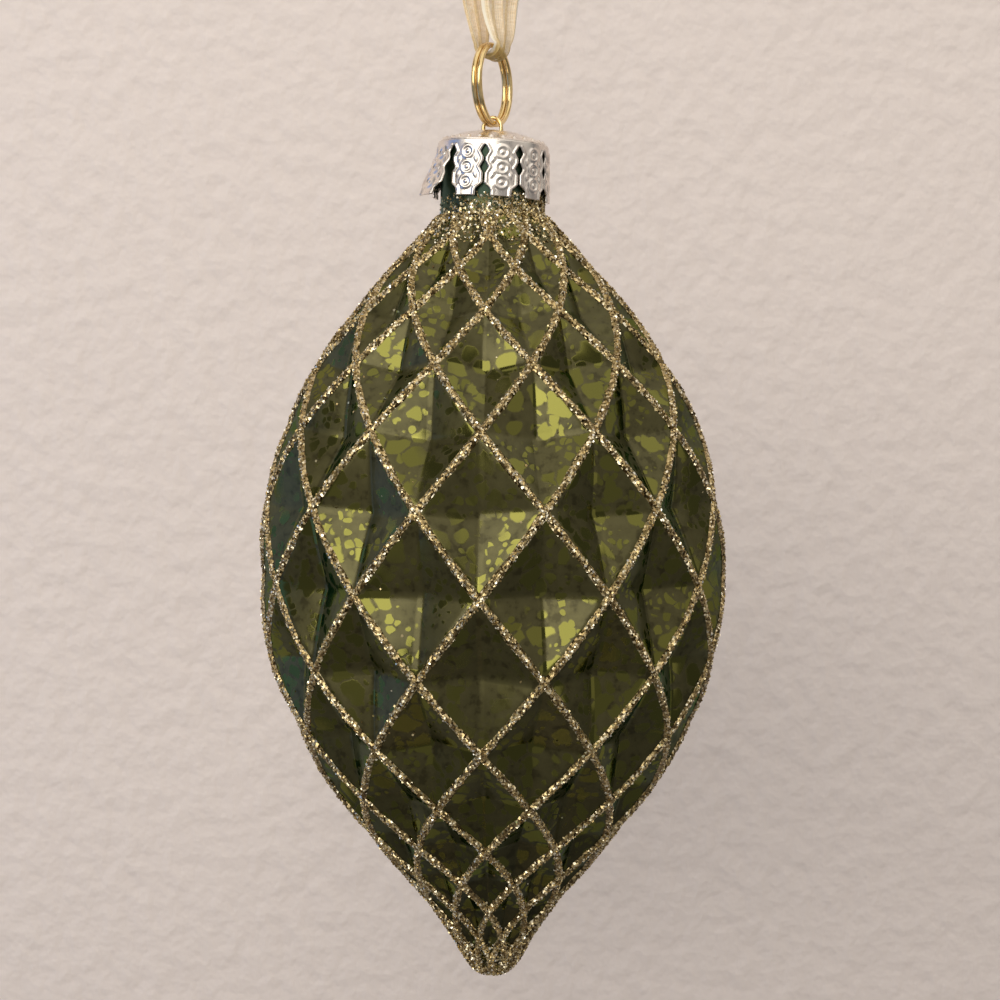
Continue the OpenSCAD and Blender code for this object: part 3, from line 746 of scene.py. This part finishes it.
dome_rings = np.concatenate([
    np.linspace(DOME_START_R, PLAIN_DOME_R, 18), np.linspace(BEADED_DOME_R, SKIRT_R - RIM_ROUND, 13)
])
cap_points, cap_faces = [], []
cap_cols = TAB_COUNT * TAB_COLS
cap_angle = math.radians(TAB_TURN) + np.arange(cap_cols) * 2 * math.pi / cap_cols
bead_at = 2 * math.pi / BEAD_COUNT
for r in dome_rings:
    off = (cap_angle + bead_at / 2) % bead_at - bead_at / 2
    raise_by = bump_at(np.hypot(BEAD_RING_R * off, r - BEAD_RING_R), BEAD_R, BEAD_H)
    z = CAP_TOP_Z - DOME_R + math.sqrt(DOME_R**2 - r * r) + raise_by
    cap_points.append(np.stack([r * np.cos(cap_angle), r * np.sin(cap_angle), z], -1))
cap_faces += [f[::-1] for f in grid_faces(len(dome_rings), cap_cols, wrap=True)]
cap_faces.append(tuple(range(cap_cols)))
cap_points = [np.vstack(cap_points)]
downs = np.concatenate([[0.0, RIM_ROUND_H], np.linspace(SKIRT_START, SKIRT_H, 58)])
u = np.linspace(-1, 1, TAB_COLS + 1)
for tab in range(TAB_COUNT):
    middle = math.radians(TAB_TURN + (tab + 0.5) * 360 / TAB_COUNT)
    down = downs[:, None] + 0 * u[None, :]
    radius = SKIRT_R + SKIRT_FLARE * down / SKIRT_H
    radius = radius - RIM_ROUND * np.clip(1 - down / RIM_ROUND_H, 0, 1)
    if tab == SPRUNG_TAB:
        radius = radius + np.clip(down - BEND_DOWN, 0, None) * math.tan(SPRUNG_ANGLE)
    pitch = math.pi * SKIRT_R / TAB_COUNT
    half = pitch - gap_at(down)
    x = u[None, :] * half
    radius = radius + emboss(x, down, half) * np.clip((down - EMBOSS_FROM) / EMBOSS_FADE, 0, 1)
    a = middle + x / pitch * math.pi / TAB_COUNT
    points = np.stack([radius * np.cos(a), radius * np.sin(a), RIM_Z - down], -1).reshape(-1, 3)
    base = sum(len(p) for p in cap_points)
    cap_points.append(points)
    cap_faces += [tuple(base + v for v in f[::-1]) for f in grid_faces(len(downs), TAB_COLS + 1)]
WELD_WITHIN = 0.02
SHEET_SHARE = 0.8
# the cap sits a little askew on the neck, lower on the side of CAP_LOW
CAP_TILT = math.radians(3.0)
CAP_LOW = np.array([math.cos(CAMERA_AZIMUTH), math.sin(CAMERA_AZIMUTH), 0.0])
CAP_PIVOT = np.array([0.0, 0.0, RIM_Z - SKIRT_H / 2])
from_pivot = np.vstack(cap_points) - CAP_PIVOT
along_low, upward = from_pivot @ CAP_LOW, from_pivot[:, 2]
turned_low = along_low * math.cos(CAP_TILT) + upward * math.sin(CAP_TILT)
turned_up = upward * math.cos(CAP_TILT) - along_low * math.sin(CAP_TILT)
tilted = CAP_PIVOT + from_pivot + (turned_low - along_low)[:, None] * CAP_LOW
tilted[:, 2] = CAP_PIVOT[2] + turned_up
cap = new_piece("embossed_cap", tilted, cap_faces, cap_look, "cap")
weld = cap.modifiers.new("weld", "WELD")
weld.merge_threshold = WELD_WITHIN * MM
sheet = cap.modifiers.new("sheet", "SOLIDIFY")
sheet.thickness = SHEET_T * MM * SHEET_SHARE
sheet.offset = -1
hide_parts("crown_cap")


# Wire clip and split ring: smooth drawn wire

CLIP_WIRE_R = 0.3
EYE_HALF = 1.45
EYE_DROP = 0.5
EYE_RISE = 1.5
LEG_GAP = 0.25
KNEE_DROP = 1.4
LEG_DROP = 9.0
CLIP_SPREAD = BORE_R - LEG_GAP - CLIP_WIRE_R
KNEE_Z = CAP_TOP_Z - SHEET_T - KNEE_DROP
HEEL_Z = KNEE_Z - LEG_DROP
FOOT_L = 3.0
FOOT_ANGLE = math.radians(32)
EYE_Z = RING_BOTTOM_Z - EYE_DROP
leg = [
    (CLIP_SPREAD - FOOT_L * math.sin(FOOT_ANGLE), HEEL_Z - FOOT_L * math.cos(FOOT_ANGLE)),
    (CLIP_SPREAD, HEEL_Z),
    (EYE_HALF, KNEE_Z),
    (EYE_HALF, CAP_TOP_Z),
    (EYE_HALF, EYE_Z),
]
eye = [(EYE_HALF * math.cos(a), EYE_Z + EYE_RISE * math.sin(a)) for a in np.linspace(0, math.pi, 25)]
other_leg = [(-y, z) for y, z in reversed(leg)]
clip_line = rounded(leg + eye[1:-1] + other_leg, 3)
clip_path = np.column_stack([np.zeros(len(clip_line)), clip_line])
points, faces = tube(clip_path, CLIP_WIRE_R, (1.0, 0.0, 0.0))
clip = new_piece("clip_wire", points, faces, gold_look, "cap")
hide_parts("wire_clip")

# the two turns lie close together, and the wire crosses from one to the other inside the ribbon
RING_HALF = 0.44
RING_CROSS = 50.0
RING_TURN = 90.0
RING_STEPS = 190
ring_along = np.linspace(0, 720 - RING_CROSS, RING_STEPS)
cross_share = np.clip((ring_along - 360 + RING_CROSS) / RING_CROSS, 0, 1)
ring_shift = RING_HALF * (2 * cross_share**2 * (3 - 2 * cross_share) - 1)
ring_turn = np.radians(ring_along + RING_CROSS / 2 + RING_TURN)
ring_path = np.column_stack([RING_R * np.cos(ring_turn), ring_shift, RING_Z + RING_R * np.sin(ring_turn)])
points, faces = tube(ring_path, RING_WIRE_R, (0.0, 1.0, 0.0))
ring = new_piece("ring_wire", points, faces, gold_look, "ring")
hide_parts("split_ring")


# Ribbon: one sheer strip from a cut end through the knot, round the ring's wire and back to the other end

RIBBON_W = 10.0
LOOP_HALF = 4.5
LOOP_LIFT = 1.5
BIGHT_R = 1.7
GATHER_W = 4.8
OPEN_W = 9.0
KNOT_H = 4.0
KNOT_W = 7.0
KNOT_GATHER_W = 3.4
KNOT_STRAND_Y = 0.7
TAIL_L = 12.0
TAIL_LEAN = 24.0
FOLDS = 2.5
# low on the loop the strands turn about their own line and lean to one side, in degrees and millimetres
LOW_TURN = {1: -15.0, -1: -30.0}
LOW_LEAN = {1: 0.3, -1: -0.9}
LOW_SHARE = 0.3
TURN_SHARE = 0.45
TURN_POWER = 0.6
STRAND_STEPS = 70
KNOT_STEPS = 6
TAIL_STEPS = 18
BIGHT_STEPS = 25
RIBBON_COLS = 61
# the folds drift to and fro along the ribbon, with a second finer fold and a sideways lean in them
FOLD_GAIN = 1.05
SLACK_RANGE = (0.02, 1.6)
FOLD_PHASE, FOLD_DRIFT, DRIFT_L = 0.6, 0.35, 9.0
FINER_FOLD, FINER_PHASE = 0.25, 1.3
LEAN_SHARE, LEAN_PHASE = 0.12, 2.0


def strand(s):
    """The strand on side s, from the ring's wire to its cut end.

    Each point has y, z, the share of the way up (past 1 in the tail) and the turn about its own line.
    """
    u = np.linspace(0, 1, STRAND_STEPS)[1:]
    y = BIGHT_R * (1 - u) + KNOT_STRAND_Y * u + LOOP_HALF * np.sin(math.pi * u**LOOP_LIFT)
    y = y + LOW_LEAN[s] * np.sin(math.pi * np.clip(u / LOW_SHARE, 0, 1)) ** 2
    turn = LOW_TURN[s] * np.sin(math.pi * np.clip(u / TURN_SHARE, 0, 1) ** TURN_POWER)
    loop = np.column_stack([s * y, RING_TOP_Z + u * LOOP_H, u, np.radians(turn)])
    k = np.linspace(0, 1, KNOT_STEPS)[1:]
    knot = np.column_stack([0 * k + s * KNOT_STRAND_Y, k * KNOT_H, 0 * k + 1, 0 * k])
    t = np.linspace(0, 1, TAIL_STEPS)[1:]
    lean = np.radians(TAIL_LEAN * (1 + t) / 2)
    tail = np.column_stack([
        s * (KNOT_STRAND_Y + TAIL_L * t * np.sin(lean)), KNOT_H + TAIL_L * t * np.cos(lean), 1 + t, 0 * t
    ])
    return np.vstack([loop, knot, tail])


def lay_weave(piece, uv):
    """Gives a cloth piece its weave coordinates, in metres."""
    layer = piece.data.uv_layers.new(name="weave")
    for loop in piece.data.loops:
        layer.data[loop.index].uv = uv[loop.vertex_index]


bend = np.linspace(0, -math.pi, BIGHT_STEPS)
bight = np.column_stack([BIGHT_R * np.cos(bend), RING_TOP_Z + BIGHT_R * np.sin(bend), 0 * bend, 0 * bend])
ribbon_line = np.vstack([strand(1)[::-1], bight, strand(-1)])
along = unit(np.gradient(ribbon_line[:, :2], axis=0))
sideways = np.column_stack([-along[:, 1], along[:, 0]])
ribbon_steps = np.linalg.norm(np.diff(ribbon_line[:, :2], axis=0), axis=1)
length = np.concatenate([[0], np.cumsum(ribbon_steps)])
way_up = ribbon_line[:, 2]
gathered = np.where(way_up < 0.5, GATHER_W, KNOT_GATHER_W)
half_w = np.where(
    way_up <= 1,
    (gathered + (OPEN_W - gathered) * np.sin(math.pi * np.clip(way_up, 0, 1))) / 2,
    (KNOT_GATHER_W + (OPEN_W - KNOT_GATHER_W) * (way_up - 1)) / 2,
)
# folds are as deep as the gathered width leaves cloth over
slack = np.sqrt(np.clip((RIBBON_W / (2 * half_w)) ** 2 - 1, *SLACK_RANGE))
depth = slack * 2 * half_w / (2 * math.pi * FOLDS) * FOLD_GAIN
w = np.linspace(-1, 1, RIBBON_COLS)
phase = FOLD_PHASE + FOLD_DRIFT * np.sin(length / DRIFT_L)
wave, finer_wave = math.pi * FOLDS * w[None, :], 2 * math.pi * FOLDS * w[None, :]
fold = np.sin(wave + phase[:, None]) + FINER_FOLD * np.sin(finer_wave + FINER_PHASE)
fold = depth[:, None] * fold
shift = LEAN_SHARE * half_w[:, None] * np.sin(finer_wave + LEAN_PHASE + phase[:, None])
spread = half_w[:, None] * w[None, :] + shift
turned = ribbon_line[:, 3:4]
out_y = fold * sideways[:, :1]
points = np.stack([
    spread * np.cos(turned) - out_y * np.sin(turned),
    ribbon_line[:, :1] + spread * np.sin(turned) + out_y * np.cos(turned),
    ribbon_line[:, 1:2] + fold * sideways[:, 1:2],
], axis=-1)
ribbon = new_piece(
    "organza_ribbon", points.reshape(-1, 3), grid_faces(len(ribbon_line), len(w)), organza_look, "hanger"
)
from_ring = length - length[-1] / 2
flat_uv = np.stack(np.broadcast_arrays(RIBBON_W / 2 * w[None, :] * MM, from_ring[:, None] * MM), -1)
lay_weave(ribbon, flat_uv.reshape(-1, 2))
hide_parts("hanging_ribbon")

# the knot: the strip drawn once round both strands, with folds running round it
KNOT_INNER = 2.3
KNOT_FLAT = 0.9
KNOT_EDGE = 0.1
KNOT_SLANT = 0.25
# the weave across the knot, and its start and run round the knot for each radian
KNOT_WEAVE_HALF, KNOT_WEAVE_FROM, KNOT_WEAVE_RUN = 3.5, 10.0, 3.0
knot_rows, knot_cols = 40, 96
across = np.linspace(0, 2 * math.pi, knot_rows, endpoint=False)[:, None]
about = np.linspace(0, 2 * math.pi, knot_cols, endpoint=False)[None, :]
wide = (KNOT_W / 2 - KNOT_INNER) / 2
crease = 1 + 0.10 * np.sin(7 * across + 2 * about) + 0.06 * np.sin(3 * across - about)
r = KNOT_INNER + wide + wide * np.cos(across) * crease
uneven = 1 + 0.05 * np.sin(2 * about)
z = KNOT_H / 2 + (KNOT_H / 2 - KNOT_EDGE) * np.sin(across) * uneven + KNOT_SLANT * np.sin(about)
points = np.stack(np.broadcast_arrays(r * np.cos(about), KNOT_FLAT * r * np.sin(about), z), -1)
faces = [
    tuple(v % (knot_rows * knot_cols) for v in face)
    for face in grid_faces(knot_rows + 1, knot_cols, wrap=True)
]
knot = new_piece("organza_knot", points.reshape(-1, 3), faces, organza_look, "hanger")
knot_uv = np.stack(np.broadcast_arrays(
    KNOT_WEAVE_HALF * np.cos(across) * MM, (KNOT_WEAVE_FROM + KNOT_WEAVE_RUN * about) * MM
), -1)
lay_weave(knot, knot_uv.reshape(-1, 2))
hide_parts("ribbon_knot")


# Stage: a pale wall that sweeps into a pale floor

back = np.array([math.sin(CAMERA_AZIMUTH), -math.cos(CAMERA_AZIMUTH), 0.0])
right = np.array([math.cos(CAMERA_AZIMUTH), math.sin(CAMERA_AZIMUTH), 0.0])
up_axis = np.array([0.0, 0.0, 1.0])
WALL_BEHIND = 110.0
WALL_HALF = 420.0
WALL_TOP = 1400.0
FLOOR_Z = -1400.0
SWEEP_R = 160.0
WALL_GLOW = 0.08
# the glow fades out below the ornament, so that the floor stays plain
GLOW_FROM_Z = -420.0
GLOW_TO_Z = -180.0


def make_wall():
    material, nodes, links, shader = new_material("pale_wall")
    place = add(nodes, "ShaderNodeTexCoord").outputs["Object"]
    peel = add(nodes, "ShaderNodeTexNoise", Scale=230.0, Detail=2.0, Roughness=0.45)
    links.new(place, peel.inputs["Vector"])
    bump = add(nodes, "ShaderNodeBump", Strength=0.5, Distance=0.0016)
    links.new(peel.outputs["Fac"], bump.inputs["Height"])
    links.new(bump.outputs["Normal"], shader.inputs["Normal"])
    paint = [(0.3, (0.735, 0.650, 0.600)), (0.7, (0.755, 0.670, 0.620))]
    links.new(ramp(nodes, links, peel.outputs["Fac"], paint), shader.inputs["Base Color"])
    shader.inputs["Roughness"].default_value = 0.8
    # the wall keeps its pale level without more light on the ornament
    ray = add(nodes, "ShaderNodeLightPath").outputs
    mirrored = maths(nodes, links, "MAXIMUM", ray["Is Glossy Ray"], ray["Is Transmission Ray"])
    seen = maths(nodes, links, "MAXIMUM", ray["Is Camera Ray"], mirrored)
    height = nodes.new("ShaderNodeSeparateXYZ")
    links.new(place, height.inputs[0])
    on_wall = map_range(
        nodes, links, height.outputs[2], GLOW_FROM_Z * MM, GLOW_TO_Z * MM, to_high=WALL_GLOW
    )
    glow = maths(nodes, links, "MULTIPLY", seen, on_wall)
    links.new(glow, shader.inputs["Emission Strength"])
    shader.inputs["Emission Color"].default_value = (0.70, 0.61, 0.56, 1.0)
    # only the side toward the ornament shows, so that the back can be looked at through the wall
    seen_from = add(nodes, "ShaderNodeNewGeometry").outputs["Backfacing"]
    clear = nodes.new("ShaderNodeBsdfTransparent")
    one_sided = nodes.new("ShaderNodeMixShader")
    links.new(seen_from, one_sided.inputs[0])
    links.new(shader.outputs[0], one_sided.inputs[1])
    links.new(clear.outputs[0], one_sided.inputs[2])
    links.new(one_sided.outputs[0], nodes["Material Output"].inputs["Surface"])
    return material


sweep = np.radians(np.linspace(0, 90, 13))
profile = [(-WALL_BEHIND, WALL_TOP)]
profile += [
    (-WALL_BEHIND + SWEEP_R * (1 - math.cos(a)), FLOOR_Z + SWEEP_R * (1 - math.sin(a))) for a in sweep
]
profile.append((WALL_TOP, FLOOR_Z))
stage_points = [b * back + s * WALL_HALF * right + z * up_axis for b, z in profile for s in (-1, 1)]
stage_mesh = bpy.data.meshes.new("backdrop")
stage_faces = [face[::-1] for face in grid_faces(len(profile), 2)]
stage_mesh.from_pydata((np.array(stage_points) * MM).tolist(), [], stage_faces)
stage_mesh.shade_smooth()
stage_mesh.materials.append(make_wall())
backdrop = bpy.data.objects.new("backdrop", stage_mesh)
bpy.context.scene.collection.objects.link(backdrop)


# Soft room light: a key from the upper left, a broad low fill, a light from above, a cool fill from the left
# and a warm fill from the right

# name, azimuth and elevation from the camera's side in degrees, distance, width, height, watts, colour
LAMPS = (
    ("key", -27, 25, 800, 940, 600, 5.2, (1.0, 0.96, 0.89)),
    ("low_fill", -4, -16, 800, 1500, 560, 0.42, (1.0, 0.95, 0.87)),
    ("top", 40, 70, 700, 1000, 1000, 2.9, (1.0, 0.95, 0.88)),
    ("cool_fill", -96, 4, 430, 300, 420, 0.27, (0.08, 0.34, 1.0)),
    ("right_fill", 60, 12, 800, 600, 700, 0.62, (1.0, 0.93, 0.82)),
)
ROOM_COLOUR = (0.95, 0.95, 1.0, 1.0)
ROOM_STRENGTH = 0.18


def add_lamp(name, azimuth, elevation, distance, width, height, power, colour):
    """A rectangular lamp round the ornament that looks at its middle."""
    data = bpy.data.lights.new(name, "AREA")
    data.shape = "RECTANGLE"
    data.size, data.size_y = width * MM, height * MM
    data.energy = power
    data.color = colour
    lamp = bpy.data.objects.new(name, data)
    lamp.visible_camera = False
    bpy.context.scene.collection.objects.link(lamp)
    a, e = CAMERA_AZIMUTH + math.radians(azimuth), math.radians(elevation)
    middle = Vector((0.0, 0.0, WAIST_Z))
    place = Vector((
        distance * math.sin(a) * math.cos(e), -distance * math.cos(a) * math.cos(e),
        WAIST_Z + distance * math.sin(e),
    ))
    lamp.location = place * MM
    lamp.rotation_euler = (middle - place).to_track_quat("-Z", "Y").to_euler()


for lamp_values in LAMPS:
    add_lamp(*lamp_values)

world = bpy.data.worlds.new("room")
bpy.context.scene.world = world
world.use_nodes = True
room = world.node_tree.nodes["Background"]
room.inputs["Color"].default_value = ROOM_COLOUR
room.inputs["Strength"].default_value = ROOM_STRENGTH


# Camera: a little above the ornament's widest row, looking slightly down

CAMERA_DISTANCE = 276.4
CAMERA_Z = WAIST_Z + 30.49
CAMERA_RIGHT = 1.16
CAMERA_DOWN = 4.02
CAMERA_LENS = 65.4
CAMERA_SENSOR = 36.0
CAMERA_NEAR = 10.0
camera_data = bpy.data.cameras.new("camera")
camera_data.sensor_width = CAMERA_SENSOR
camera_data.lens = CAMERA_LENS
camera_data.clip_start = CAMERA_NEAR * MM
camera = bpy.data.objects.new("camera", camera_data)
bpy.context.scene.collection.objects.link(camera)
camera.location = (CAMERA_DISTANCE * back + CAMERA_RIGHT * right + CAMERA_Z * up_axis) * MM
camera.rotation_euler = (math.radians(90 - CAMERA_DOWN), 0.0, CAMERA_AZIMUTH)
bpy.context.scene.camera = camera
bpy.context.scene.view_settings.view_transform = "Standard"
